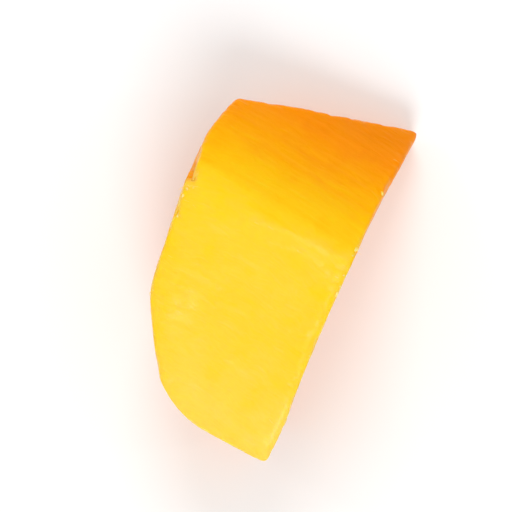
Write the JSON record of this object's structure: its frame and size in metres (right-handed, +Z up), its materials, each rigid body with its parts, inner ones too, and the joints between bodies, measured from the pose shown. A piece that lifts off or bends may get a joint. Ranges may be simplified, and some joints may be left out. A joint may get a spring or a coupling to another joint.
{
  "type": "mango chunk",
  "caption": "Chunk of peeled mango flesh with straight knife cuts, a soft ridge and a rounded side where the skin was peeled away, lying on a flat cut.",
  "frame": {"origin": "middle of the bottom of the chunk's box, on the flat cut it lies on", "axes": "+X across the chunk towards the straight side cut, +Y along it towards the slanted cut and the back, +Z up"},
  "size_m": [0.0212, 0.0398, 0.0225],
  "materials": {
    "flesh": "moist ripe mango flesh, golden yellow turning orange on the slanted cut, with faint pale fibres"
  },
  "bodies": {
    "root": {"mango_chunk": "flesh"}
  },
  "joints": []
}
